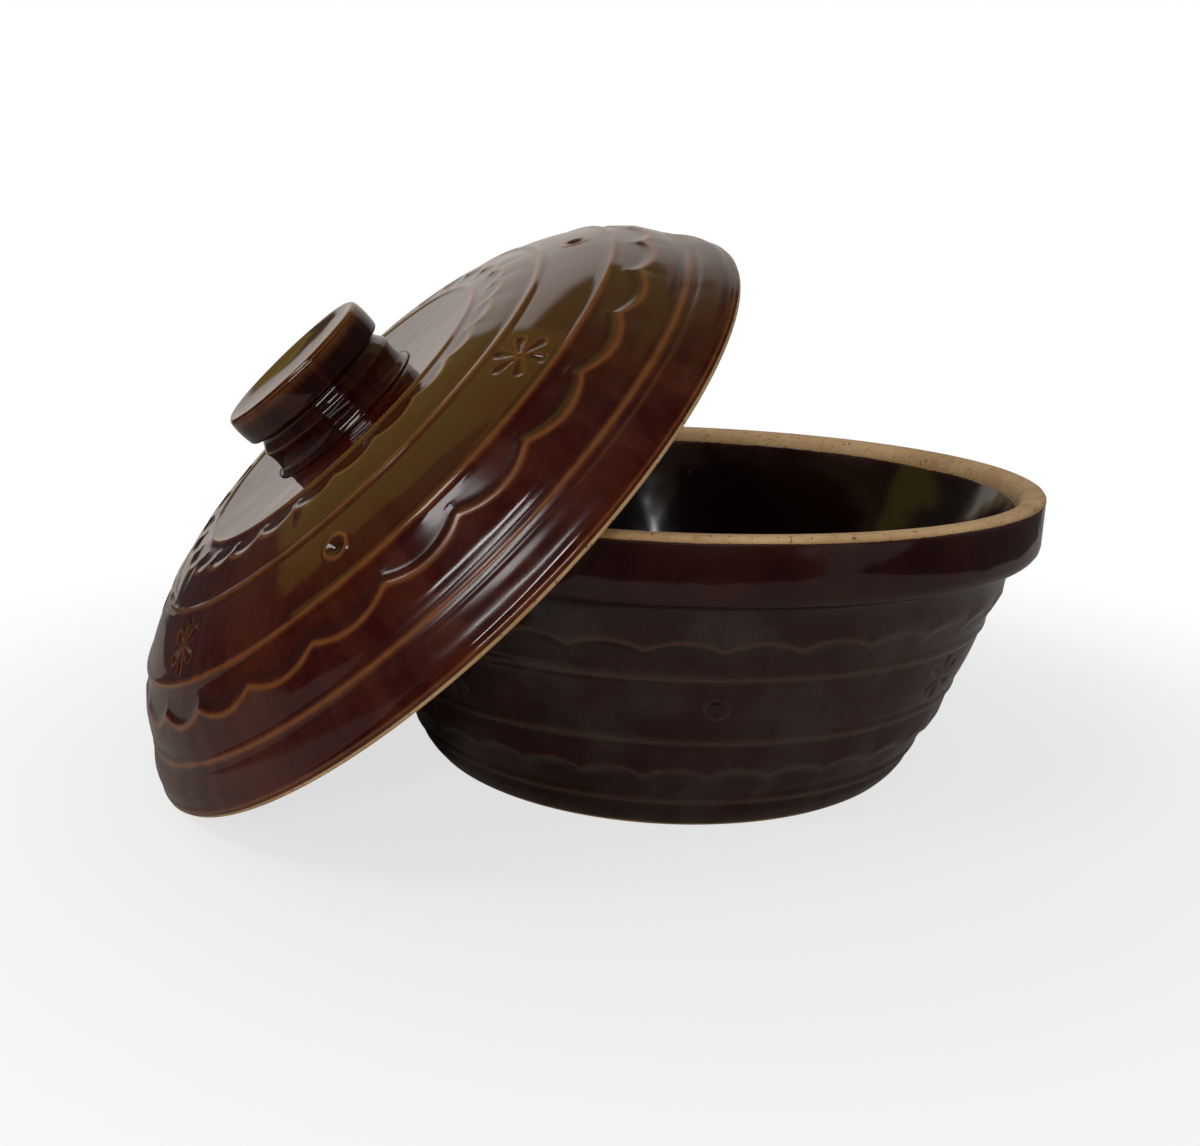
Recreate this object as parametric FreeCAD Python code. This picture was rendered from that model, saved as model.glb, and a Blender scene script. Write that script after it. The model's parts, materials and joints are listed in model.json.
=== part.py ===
import FreeCAD, Part
import math
import os

# Stoneware serving bowl with a loose lid that leans against it. Millimetres, +Z up.
# The origin is the centre of the bowl's foot on the table.

V = FreeCAD.Vector

# Bowl, overall
rim_radius = 112.5
bowl_height = 88.8
collar_height = 18.0
collar_overhang = 8.3
collar_cove_width = 1.6
collar_cove_height = 3.5
collar_lower_edge = 2.2
collar_neck_drop = 4.4
rim_outer_edge = 1.6
rim_flat_width = 2.3
rim_inner_slope_width = 3.8
rim_inner_slope_drop = 4.0

# Bowl, foot and inside
foot_radius = 76.0
foot_corner = 3.0
foot_ring_width = 7.0
foot_recess = 1.2
bowl_wall = 8.0
bowl_floor = 8.0
floor_corner_width = 22.0
floor_corner_sweep = 4.5

# Bowl, fine rings between its bands, counted from the foot
bowl_ring_heights = (9.8, 30.2, 49.7)
bowl_ring_radii = (82.0, 91.5, 98.8)
ring_width = 2.2
ring_rise = 0.7

# Bowl, scalloped edges
bowl_scallops = 33
bowl_scallop_turn = 278.0
bowl_scallop_depth = 2.6
bowl_scallop_rise = 1.0
upper_scallop_reach = 5.8
lower_scallop_reach = 7.6

# Lid, outside. Radii and heights of its rings above the rim plane, from the rim inwards
lid_edge_height = 2.4
lid_edge_bevel = 0.8
lid_ring_radii = (104.5, 90.5, 72.3, 51.0)
lid_ring_heights = (12.0, 27.0, 35.7, 40.0)
lid_rim_band_bulge = 1.2
pad_height = 38.9
pad_margin = 1.0

# Lid, underside
lid_wall = 7.2
seat_width = 9.0
lip_width = 7.0
lip_drop = 1.8
lip_root_height = 3.8
haunch_inset = 5.0

# Lid, scalloped edges
lid_scallops = 27
lid_scallop_depth = 3.2
lid_scallop_rise = 1.1
lid_scallop_reach = 8.0
crown_scallop_depth = 2.6
crown_scallop_rise = 0.7
crown_scallop_reach = 9.6

# Knob
knob_radius = 25.2
knob_edge_bevel = 1.0
knob_height = 21.2
knob_disc_height = 9.6
knob_undercut_radius = 21.6
knob_bead_radius = 24.3
knob_bead_height = 5.0
knob_bead_rise = 0.9
knob_neck_radius = 23.4
knob_foot_radius = 26.6
knob_foot_flare = 2.2
knob_dish_radius = 22.2
knob_dish_slope = 3.0
knob_dish_depth = 2.6

# Straight runs that every ring, bead and sweep is cut into
runs = 2

# How the lid leans: tilt of its axis from upright, and the way its top points
lean_tilt = 44.23
lean_turn = 203.15
lean_gap = 0.3
table_gap = 0.2
near_lid = 5.0
lean_nearest = 45.0
lean_farthest = 135.0
lean_accuracy = 0.01
rim_spacing = 1.0
sweep_angle = 92
sweep_step = 2

# How far a raised plate is sunk into its band, how blunt its cusps are, and how far the
# cutters of its arcs reach past it
sunk = 1.5
blunt = 0.25
cutter_reach = 4.0


def spun(points):
    """Solid of revolution about Z of a closed outline of (radius, height) points."""
    path = points + points[:1]
    for index, point in enumerate(points):
        if point[0] == 0 and points[index - 1][0] == 0:
            path = points[index:] + points[:index]
    wire = Part.makePolygon([V(radius, 0, height) for radius, height in path])
    solid = Part.makeSolid(Part.Shell(wire.revolve(V(0, 0, 0), V(0, 0, 1), 360).Faces))
    if solid.Volume < 0:
        solid.reverse()
    return solid


def bowed(start, end, bulge):
    """Points from after start up to end on an arc that swells off the material by bulge."""
    length = math.dist(start, end)
    along = ((end[0] - start[0]) / length, (end[1] - start[1]) / length)
    radius = (length ** 2 / 4 + bulge ** 2) / (2 * abs(bulge))
    points = []
    for index in range(1, runs):
        run = length * index / runs
        swell = math.sqrt(radius ** 2 - (run - length / 2) ** 2) - radius + abs(bulge)
        out = math.copysign(swell, bulge)
        points.append((
            start[0] + run * along[0] + out * along[1],
            start[1] + run * along[1] - out * along[0],
        ))
    return points + [end]


def ring_feet(centre, before, after):
    """Feet of a fine ring that stands on the line from before to after."""
    length = math.dist(before, after)
    half_x = ring_width / 2 * (after[0] - before[0]) / length
    half_z = ring_width / 2 * (after[1] - before[1]) / length
    return (centre[0] - half_x, centre[1] - half_z), (centre[0] + half_x, centre[1] + half_z)


def scalloped_plate(start, end, reach, depth, rise, count, turn):
    """Raised part of the band from start to end. It ends in arcs whose cusps point to end."""
    length = math.dist(start, end)
    along = V(end[0] - start[0], 0, end[1] - start[1]) / length
    out = V(along.z, 0, -along.x) * math.copysign(1.0, along.z)

    def place(run, lift):
        spot = V(start[0], 0, start[1]) + along * run + out * lift
        return spot.x, spot.z

    tip = reach + depth - blunt
    top = rise * tip / reach
    plate = spun([place(0.0, -sunk), place(0.0, 0.0), place(tip, top), place(tip, -sunk)])
    half_pitch = math.pi * place(reach + depth, 0.0)[0] / count
    lobe_radius = (half_pitch ** 2 + depth ** 2) / (2 * depth)
    middle = place(reach + lobe_radius, -sunk - cutter_reach)
    height = sunk + top + 2 * cutter_reach
    lobe = Part.makeCylinder(lobe_radius, height, V(middle[0], 0, middle[1]), out)
    lobes = []
    for index in range(count):
        copy = lobe.copy()
        copy.rotate(V(0, 0, 0), V(0, 0, 1), turn + (index + 0.5) * 360.0 / count)
        lobes.append(copy)
    return plate.cut(lobes)


def collar_bottom():
    return bowl_height - collar_height


def neck():
    """Where the wall meets the cove under the collar."""
    return rim_radius - collar_overhang, collar_bottom() - collar_neck_drop


def rim_inner():
    """Inner edge of the bowl's rim."""
    radius = rim_radius - rim_outer_edge - rim_flat_width - rim_inner_slope_width
    return radius, bowl_height - rim_inner_slope_drop


def bowl_rings():
    """Feet of the bowl's rings, from the foot up."""
    centres = list(zip(bowl_ring_radii, bowl_ring_heights))
    before = (foot_radius + foot_corner, foot_corner)
    feet = []
    for centre, after in zip(centres, centres[1:] + [neck()]):
        feet.append(ring_feet(centre, before, after))
        before = centre
    return feet


def collar_points():
    """Outline from the neck round the collar and over the rim."""
    low = collar_bottom()
    neck_radius, neck_height = neck()
    side_low = (rim_radius, low + collar_lower_edge)
    lower_edge = (rim_radius - collar_lower_edge, low)
    side_top = (rim_radius, bowl_height - rim_outer_edge)
    crest_outer = (rim_radius - rim_outer_edge, bowl_height)
    crest_inner = (rim_radius - rim_outer_edge - rim_flat_width, bowl_height)
    cove = (neck_radius + collar_cove_width, neck_height + collar_cove_height)
    return [
        neck(), cove, lower_edge, side_low, side_top, crest_outer, crest_inner, rim_inner()
    ]


def bowl_hollow_points():
    """Outline from the inner edge of the rim down the wall to the middle of the floor."""
    wall_foot = (bowl_ring_radii[1] - bowl_wall, bowl_ring_heights[1])
    floor_edge = (wall_foot[0] - floor_corner_width, bowl_floor)
    return [wall_foot] + bowed(wall_foot, floor_edge, -floor_corner_sweep) + [(0, bowl_floor)]


def make_bowl():
    """The bowl: foot ring, three fine rings, two scalloped edges and an overhanging collar."""
    feet = bowl_rings()
    outline = [(foot_radius, 0), (foot_radius + foot_corner, foot_corner)]
    for first, second in feet:
        outline.append(first)
        outline += bowed(first, second, ring_rise)
    outline += collar_points()
    outline += bowl_hollow_points()
    foot_inner = foot_radius - foot_ring_width
    outline += [(0, foot_recess), (foot_inner - foot_recess, foot_recess), (foot_inner, 0)]
    plates = []
    for start, end, reach in (
        (neck(), feet[2][1], upper_scallop_reach),
        (feet[1][0], feet[0][1], lower_scallop_reach),
    ):
        plates.append(scalloped_plate(
            start, end, reach, bowl_scallop_depth, bowl_scallop_rise, bowl_scallops, bowl_scallop_turn
        ))
    return spun(outline).fuse(plates)


def lid_rings():
    """Feet of the lid's rings, from the rim inwards."""
    centres = list(zip(lid_ring_radii, lid_ring_heights))
    before = lid_edge_top()
    feet = []
    for centre, after in zip(centres, centres[1:] + [(0, lid_ring_heights[-1])]):
        feet.append(ring_feet(centre, before, after))
        before = centre
    return feet


def lid_edge_top():
    """Where the lid's upright edge meets its first band."""
    return rim_radius, lid_edge_height


def underside_points():
    """Outline of the hollow from the middle of the crown down, round the locating lip."""
    lip_outer = rim_radius - seat_width
    lip_inner = lip_outer - lip_width
    rim_side, haunch, shoulder, crown = zip(lid_ring_radii, lid_ring_heights)
    return [
        (0, pad_height - lid_wall),
        (crown[0], pad_height - lid_wall),
        (shoulder[0], shoulder[1] - lid_wall),
        (haunch[0] - haunch_inset, haunch[1] - lid_wall),
        (lip_inner, lip_root_height),
        (lip_inner, -lip_drop),
        (lip_outer, -lip_drop),
        (lip_outer, 0),
    ]


def lid_outline():
    """The lid's closed section on its rim plane: edge, bands and rings, pad, hollow, seat."""
    feet = lid_rings()
    outline = [(rim_radius - lid_edge_bevel, 0), (rim_radius, lid_edge_bevel), lid_edge_top()]
    outline += bowed(lid_edge_top(), feet[0][0], lid_rim_band_bulge)
    for first, second in feet:
        if first != feet[0][0]:
            outline.append(first)
        outline += bowed(first, second, ring_rise)
    outline.append((knob_foot_radius + pad_margin, pad_height))
    outline.append((0, pad_height))
    return outline + underside_points()


def make_lid():
    """The lid, upright on its rim plane: rings, two scalloped edges, seat and locating lip."""
    feet = lid_rings()
    plates = [
        scalloped_plate(
            feet[0][1], feet[1][0], lid_scallop_reach, lid_scallop_depth,
            lid_scallop_rise, lid_scallops, 0.0
        ),
        scalloped_plate(
            feet[2][1], feet[3][0], crown_scallop_reach, crown_scallop_depth,
            crown_scallop_rise, lid_scallops, 0.0
        ),
    ]
    return spun(lid_outline()).fuse(plates)


def make_knob():
    """The knob: a dished disc on an undercut, beaded neck that flares onto the lid's pad."""
    disc_low = knob_height - knob_disc_height
    bead_low = (knob_neck_radius, knob_bead_height - knob_bead_rise)
    bead_high = (knob_neck_radius, knob_bead_height + knob_bead_rise)
    disc_edge = (knob_radius - knob_edge_bevel, disc_low)
    dish_level = knob_height - knob_dish_depth
    undercut = -(knob_neck_radius - knob_undercut_radius)
    outline = [(0, 0), (knob_foot_radius, 0), (knob_neck_radius, knob_foot_flare), bead_low]
    outline += bowed(bead_low, bead_high, knob_bead_radius - knob_neck_radius)
    outline += bowed(bead_high, disc_edge, undercut)
    outline += [
        (knob_radius, disc_low + knob_edge_bevel),
        (knob_radius, knob_height - knob_edge_bevel),
        (knob_radius - knob_edge_bevel, knob_height),
        (knob_dish_radius, knob_height),
        (knob_dish_radius - knob_dish_slope, dish_level),
        (0, dish_level),
    ]
    knob = spun(outline)
    knob.translate(V(0, 0, pad_height))
    return knob


def spaced(points, spacing):
    """The points with more put between them, at about this spacing."""
    result = []
    for start, end in zip(points, points[1:]):
        count = int(math.dist(start, end) / spacing) + 1
        for index in range(count):
            share = index / count
            result.append((
                start[0] + share * (end[0] - start[0]),
                start[1] + share * (end[1] - start[1]),
            ))
    return result + [points[-1]]


def outside_by(point, outline):
    """Distance of a point from a closed outline, negative inside it."""
    nearest = math.inf
    inside = False
    for (ax, ay), (bx, by) in zip(outline, outline[1:] + outline[:1]):
        dx = bx - ax
        dy = by - ay
        share = ((point[0] - ax) * dx + (point[1] - ay) * dy) / (dx * dx + dy * dy)
        share = max(0.0, min(1.0, share))
        nearest = min(nearest, math.dist(point, (ax + share * dx, ay + share * dy)))
        if (ay > point[1]) != (by > point[1]) and point[0] < ax + (point[1] - ay) * dx / dy:
            inside = not inside
    return -nearest if inside else nearest


def clearance(rim, outline, out, up):
    """Least gap between the bowl's rim and the lid, whose middle is at (out, up)."""
    sine = math.sin(math.radians(lean_tilt))
    cosine = math.cos(math.radians(lean_tilt))
    least = math.inf
    for radius, height in rim:
        for degree in range(0, sweep_angle, sweep_step):
            across = radius * math.cos(math.radians(degree)) - out
            side = radius * math.sin(math.radians(degree))
            axial = across * sine + (height - up) * cosine
            radial = math.hypot(side, across * cosine - (height - up) * sine)
            if radial < rim_radius + near_lid and axial < lid_ring_heights[-1]:
                least = min(least, outside_by((radial, axial), outline))
    return least


def lean_centre():
    """Middle of the lid's rim plane, outwards and up, where it leans clear of rim and table."""
    outline = lid_outline()
    sine = math.sin(math.radians(lean_tilt))
    cosine = math.cos(math.radians(lean_tilt))
    up = table_gap + max(radius * sine - height * cosine for radius, height in outline)
    neck_point, cove_point, *rim = collar_points()
    rim = spaced(rim, rim_spacing)
    near = lean_nearest
    far = lean_farthest
    while far - near > lean_accuracy:
        out = (near + far) / 2
        if clearance(rim, outline, out, up) < lean_gap:
            near = out
        else:
            far = out
    return far, up


def lean_placement():
    """Placement that carries the upright lid to where it leans."""
    out, up = lean_centre()
    turn = math.radians(lean_turn)
    tilt = math.radians(lean_tilt)
    axis = V(math.sin(tilt) * math.cos(turn), math.sin(tilt) * math.sin(turn), math.cos(tilt))
    level = V(-axis.y, axis.x, 0).normalize()
    centre = V(out * math.cos(turn), out * math.sin(turn), up)
    print("lid centre", tuple(centre), "axis", tuple(axis))
    return FreeCAD.Placement(centre, FreeCAD.Rotation(level, axis.cross(level), axis))


def write(name, shape):
    """Writes one piece as its own file."""
    print(name, len(shape.Solids), "solid, valid", shape.isValid(), "volume", round(shape.Volume))
    shape.Solids[0].exportStep(os.path.join("parts", name + ".step"))


def main():
    os.makedirs("parts", exist_ok=True)
    place = lean_placement()
    lid = make_lid()
    knob = make_knob()
    lid.Placement = place.multiply(lid.Placement)
    knob.Placement = place.multiply(knob.Placement)
    write("bowl", make_bowl())
    write("lid", lid)
    write("lid_knob", knob)


main()
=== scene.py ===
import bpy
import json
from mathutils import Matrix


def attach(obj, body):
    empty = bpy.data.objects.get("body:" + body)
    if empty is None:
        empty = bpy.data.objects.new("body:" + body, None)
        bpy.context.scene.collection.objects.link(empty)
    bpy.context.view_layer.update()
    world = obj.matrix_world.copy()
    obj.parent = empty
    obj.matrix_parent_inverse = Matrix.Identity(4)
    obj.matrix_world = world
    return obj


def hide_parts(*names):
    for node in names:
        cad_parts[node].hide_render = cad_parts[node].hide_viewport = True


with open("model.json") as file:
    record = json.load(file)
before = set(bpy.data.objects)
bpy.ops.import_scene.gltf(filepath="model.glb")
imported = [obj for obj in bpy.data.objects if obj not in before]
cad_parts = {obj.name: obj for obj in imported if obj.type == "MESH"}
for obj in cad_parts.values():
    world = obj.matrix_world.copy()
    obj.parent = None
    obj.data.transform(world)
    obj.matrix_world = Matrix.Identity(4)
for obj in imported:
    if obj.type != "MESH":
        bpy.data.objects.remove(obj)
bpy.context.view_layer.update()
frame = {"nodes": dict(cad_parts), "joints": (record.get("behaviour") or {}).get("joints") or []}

import json
import math
from functools import partialmethod

import bmesh
import bpy
from mathutils import Matrix, Quaternion, Vector

bl_info = {
    "name": "Stoneware serving bowl",
    "version": (1, 0, 0),
    "blender": (4, 5, 0),
    "location": "3D View > Sidebar > Stoneware",
    "description": "A glazed stoneware serving bowl with scalloped bands and a loose, knobbed lid",
    "category": "Object",
}

# One millimetre, in Blender's metres
MM = 0.001

# What each row of an outline says about the glaze, and about the relief
GLAZE_MARKS = ("ridge", "pool", "crown", "bare", "inside", "clean", "dull")
MARKS = (*GLAZE_MARKS, "sway_out", "sway_up", "across")

# A row this far from the middle of a motif band carries no motif
NO_MOTIF = 1.0

# Rows over a fine ring: place in ring widths, share of the rise, ridge, and pooled glaze with
# painted shade at the ring's feet
RING_ROWS = (
    (-0.80, 0.00, 0.00, 0.10),
    (-0.55, 0.10, 0.05, 0.40),
    (-0.25, 0.68, 0.50, 0.00),
    (0.00, 1.00, 1.00, 0.00),
    (0.25, 0.68, 0.50, 0.00),
    (0.55, 0.10, 0.05, 0.40),
    (0.80, 0.00, 0.00, 0.10),
)

# Rows down a scalloped edge: millimetres past the arcs, share of the rise, ridge, and pooled glaze
# with painted shade below the edge
EDGE_ROWS = (
    (0.0, 0.98, 1.00, 0.0),
    (0.7, 0.87, 0.65, 0.0),
    (1.4, 0.62, 0.20, 0.1),
    (2.2, 0.30, 0.00, 0.5),
    (3.0, 0.08, 0.00, 0.7),
    (3.9, 0.00, 0.00, 0.5),
)

# Inputs of a turned piece that the relief sizes set, and those that each piece sets
RELIEF_INPUTS = {
    "Motifs": "Int", "Petals": "Int", "Petal start": "Float", "Petal length": "Float",
    "Petal root": "Float", "Petal tip": "Float", "Petal depth": "Float",
    "Dot radius": "Float", "Dot depth": "Float", "Dot ring radius": "Float",
    "Dot ring width": "Float", "Dot ring rise": "Float", "Unevenness": "Float",
}
OWN_INPUTS = {
    "Columns": "Int", "Scallops": "Int", "Scallop turn": "Float", "Motif turn": "Float",
    "Motif edges": "Float", "Seed": "Float",
}

# Seeds of the hollows and streaks in the glaze of each piece
BOWL_SEED, LID_SEED, KNOB_SEED = 3.0, 11.0, 23.0

# Plain colours
WHITE = (1.0, 1.0, 1.0)
DARK_ROOM = (0.05, 0.05, 0.05)
PIT = (0.012, 0.005, 0.003)
CLAY_SPECK = (0.07, 0.035, 0.015)

# Lamps: how often the key light's power, two sides in metres, and compass turn, height
# and roll in degrees
LAMPS = {
    "left lamp": (2.0, (0.80, 0.40), -140.0, 44.0, 0.0),
    "front lamp": (2.4, (1.10, 0.13), -93.0, 21.0, 38.0),
}
LAMP_DISTANCE = 1.8

# The camera as fitted to the photograph: its place, and where its right and front point
CAMERA_PLACE = (0.0, -0.38223, 0.14392)
CAMERA_RIGHT = (0.99733, 0.06662, 0.0299)
CAMERA_FORWARD = (-0.05787, 0.9708, -0.23282)
SENSOR_WIDTH = 36.0


# Sizes and colours

def length(name, value, description):
    return bpy.props.FloatProperty(
        name=name, default=value * MM, precision=5, unit="LENGTH", description=description
    )


def lengths(name, values, description):
    return bpy.props.FloatVectorProperty(
        name=name, default=[value * MM for value in values], size=len(values),
        precision=5, unit="LENGTH", description=description,
    )


def angle(name, degrees, description):
    return bpy.props.FloatProperty(
        name=name, default=math.radians(degrees), subtype="ANGLE", description=description
    )


def count(name, value, description):
    return bpy.props.IntProperty(name=name, default=value, min=1, description=description)


def colour(name, value, description):
    return bpy.props.FloatVectorProperty(
        name=name, default=value, size=3, min=0.0, max=1.0, subtype="COLOR",
        description=description,
    )


def fraction(name, value, description):
    return bpy.props.FloatProperty(
        name=name, default=value, min=0.0, max=1.0, subtype="FACTOR", description=description
    )


def amount(name, value, description, unit):
    return bpy.props.FloatProperty(name=name, default=value, unit=unit, description=description)


class BowlSizes(bpy.types.PropertyGroup):
    rim_radius: length("Rim radius", 112.5, "Radius of the collar's side")
    height: length("Height", 88.8, "Height of the rim above the table")
    collar_height: length("Collar height", 18.0, "Height of the overhanging collar")
    collar_overhang: length("Collar overhang", 8.3, "How far the collar stands out")
    foot_radius: length("Foot radius", 76.0, "Radius of the foot ring on the table")
    wall: length("Wall", 8.0, "Thickness of the wall at the middle ring")
    floor: length("Floor", 8.0, "Thickness of the floor")
    ring_radii: lengths("Ring radii", (82.0, 91.5, 98.8), "Radii of the three fine rings")
    ring_heights: lengths("Ring heights", (9.8, 30.2, 49.7), "Heights of the three fine rings")
    scallops: count("Scallops", 33, "Scallops in each of the two rows")
    columns: count("Columns", 825, "Divisions round the bowl, as many for each scallop")
    scallop_turn: angle("Scallop turn", 278.0, "Where one cusp points")
    scallop_depth: length("Scallop depth", 2.6, "Depth of the cusps past the arcs")
    scallop_rise: length("Scallop rise", 1.0, "Rise of the scalloped edge")
    upper_reach: length("Upper reach", 5.8, "From the neck to the arcs of the upper row")
    lower_reach: length("Lower reach", 7.6, "From the middle ring to the arcs of the lower row")
    band_swell: length("Band swell", 0.5, "Swell of each band between its rings")
    motif_turn: angle("Motif turn", 278.0, "Where one ringed dot points")
    motif_shift: length("Motif shift", 1.2, "Height of the motifs above the band's middle")


class LidSizes(bpy.types.PropertyGroup):
    edge_height: length("Edge height", 2.4, "Height of the upright edge")
    ring_radii: lengths("Ring radii", (104.5, 90.5, 72.3, 51.0), "Radii of the four rings")
    ring_heights: lengths("Ring heights", (12.0, 27.0, 35.7, 40.0), "Heights of the four rings")
    rim_swell: length("Rim band swell", 0.95, "Swell of the band at the rim")
    band_swell: length("Band swell", 0.6, "Swell of each inner band")
    pad_radius: length("Pad radius", 27.6, "Radius of the flat under the knob")
    pad_height: length("Pad height", 38.9, "Height of the flat under the knob")
    wall: length("Wall", 7.2, "Thickness of the lid")
    seat_width: length("Seat width", 9.0, "Width of the ring that rests on the bowl")
    lip_width: length("Lip width", 7.0, "Width of the locating lip")
    lip_drop: length("Lip drop", 1.8, "Drop of the locating lip")
    scallops: count("Scallops", 27, "Scallops in each of the two rows")
    columns: count("Columns", 783, "Divisions round the lid, as many for each scallop")
    outer_depth: length("Outer depth", 3.2, "Depth of the outer row's cusps")
    outer_rise: length("Outer rise", 0.95, "Rise of the outer row")
    outer_reach: length("Outer reach", 8.0, "From the rim ring to the outer row's arcs")
    crown_depth: length("Crown depth", 2.6, "Depth of the crown row's cusps")
    crown_rise: length("Crown rise", 0.7, "Rise of the crown row")
    crown_reach: length("Crown reach", 9.6, "From the third ring to the crown row's arcs")
    motif_turn: angle("Motif turn", -17.5, "Where one ringed dot points on the lid")


class KnobSizes(bpy.types.PropertyGroup):
    radius: length("Radius", 25.2, "Greatest radius of the disc")
    height: length("Height", 21.2, "Height above the lid's pad")
    edge_radius: length("Edge radius", 24.4, "Radius at the disc's upper and lower edge")
    disc_height: length("Disc height", 9.6, "Thickness of the disc")
    undercut_radius: length("Undercut radius", 21.9, "Radius of the neck under the disc")
    neck_radius: length("Neck radius", 23.4, "Radius of the neck at its bead")
    bead_height: length("Bead height", 7.3, "Height of the bead on the neck")
    bead_rise: length("Bead rise", 0.35, "Rise of the bead")
    foot_radius: length("Foot radius", 25.6, "Radius where the neck flares onto the lid")
    flare_height: length("Flare height", 0.9, "Height over which the neck's flare dies away")
    dish_radius: length("Dish radius", 20.5, "Radius of the shallow dish on top")
    dish_depth: length("Dish depth", 3.1, "Depth of the dish under the knob's top")


class ReliefSizes(bpy.types.PropertyGroup):
    ring_width: length("Ring width", 2.9, "Width of a fine ring")
    ring_rise: length("Ring rise", 0.62, "Rise of a fine ring")
    motifs: count("Motifs", 8, "Ringed dots and flowers in a band, turn about")
    petals: count("Petals", 6, "Petals of a flower")
    petal_start: length("Petal start", 1.6, "From the flower's middle to a petal's root")
    petal_length: length("Petal length", 4.7, "Length of a petal between its two ends")
    petal_root: length("Petal root", 0.45, "Radius of a petal's root")
    petal_tip: length("Petal tip", 1.5, "Radius of a petal's tip")
    petal_depth: length("Petal depth", 0.6, "Depth of a petal")
    dot_radius: length("Dot radius", 2.1, "Radius of the dimple in a ringed dot")
    dot_depth: length("Dot depth", 0.8, "Depth of the dimple in a ringed dot")
    dot_ring_radius: length("Dot ring radius", 3.3, "Radius of the ring round a dot")
    dot_ring_width: length("Dot ring width", 1.1, "Half width of the ring round a dot")
    dot_ring_rise: length("Dot ring rise", 0.35, "Rise of the ring round a dot")
    unevenness: length("Unevenness", 0.30, "Depth of the hollows left by casting and firing")
    knob_columns: count("Knob columns", 240, "Divisions round the knob")


class Finish(bpy.types.PropertyGroup):
    body: colour("Glaze", (0.059, 0.0088, 0.0028), "Glaze of ordinary thickness")
    shade: colour("Dark glaze", (0.028, 0.0016, 0.0008), "Glaze where it lies thick")
    ridge: colour("Thin glaze", (0.16, 0.050, 0.012), "Glaze where it breaks over an edge")
    # Greenish brown glaze, partly glaze tone and partly a painted reflection of a warm wall
    crown: colour("Olive glaze and painted reflection", (0.055, 0.018, 0.0045), "Olive-brown glaze tone, with a painted reflection of a warm wall")
    # The bowl's glaze: the lid's glaze darkened as painted shade
    bowl_body_in_shade: colour("Bowl glaze", (0.022, 0.0026, 0.0012), "Glaze of the bowl, darkened as painted shade")
    bowl_thick_in_shade: colour("Dark bowl glaze", (0.013, 0.0014, 0.0008), "Thick bowl glaze, darkened as painted shade")
    bowl_ridge_in_shade: colour("Thin bowl glaze", (0.048, 0.020, 0.011), "Thin bowl glaze over an edge, darkened as painted shade")
    # The knob's glaze: the lid's glaze darkened as painted shade
    knob_body_in_shade: colour("Knob glaze", (0.036, 0.0055, 0.0020), "Glaze of the knob, darkened as painted shade")
    knob_thick_in_shade: colour("Dark knob glaze", (0.011, 0.0012, 0.0006), "Thick knob glaze, darkened as painted shade")
    # Pooled glaze, also laid on as painted shade at ring feet, under the collar and round the knob
    pool: colour("Pooled glaze and painted shade", (0.014, 0.0060, 0.0028), "Glaze run into hollows, and painted shade under overhangs")
    # Painted shade in the hollows of the bowl and the lid
    inside: colour("Inside glaze in painted shade", (0.007, 0.0018, 0.0012), "Glaze in the hollow, darkened as painted shade")
    bloom: colour("Bloom", (0.040, 0.031, 0.028), "Dull bloom that wear leaves on the glaze")
    bowl_bloom: fraction("Bloom on the bowl", 0.42, "How much of it the bloom covers")
    lid_bloom: fraction("Bloom on the lid", 0.10, "How much of it the bloom covers")
    bowl_motif_edges: fraction("Motif edges on the bowl", 0.65, "How thin the glaze is on them")
    clay: colour("Bare clay", (0.57, 0.37, 0.18), "Unglazed clay")
    clay_dark: colour("Toasted clay", (0.37, 0.21, 0.085), "Clay toasted beside the glaze")
    roughness: fraction("Roughness", 0.07, "Roughness of the glaze")


class StageSizes(bpy.types.PropertyGroup):
    floor_size: length("Floor size", 700.0, "Side of the floor")
    floor_colour: colour("Floor", (0.86, 0.86, 0.86), "Colour of the floor")
    focal_length: amount("Focal length", 36.0, "Focal length of the camera", "CAMERA")
    key_power: amount("Key light", 3.0, "Power that each lamp multiplies", "POWER")
    ambient: fraction("Ambient light", 0.42, "Strength of the even light from the room")
    pale_wall: colour("Pale wall", (1.0, 0.92, 0.84), "Wall behind, as the glaze mirrors it")
    warm_wall: colour("Warm wall", (0.34, 0.26, 0.075), "Wall above it, as the glaze mirrors it")
    floor_mirrored: colour("Mirrored floor", (0.40, 0.37, 0.33), "Floor as the glaze mirrors it")


# Outlines of turned pieces

def outwards(start, end):
    """Direction off the material for an outline that runs up the outside."""
    along = (end - start).normalized()
    return Vector((along.y, -along.x))


def on_curve(first, corner, last, share):
    """A point on the curve between two points that a corner draws out."""
    return first.lerp(corner, share).lerp(corner.lerp(last, share), share)


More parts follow.
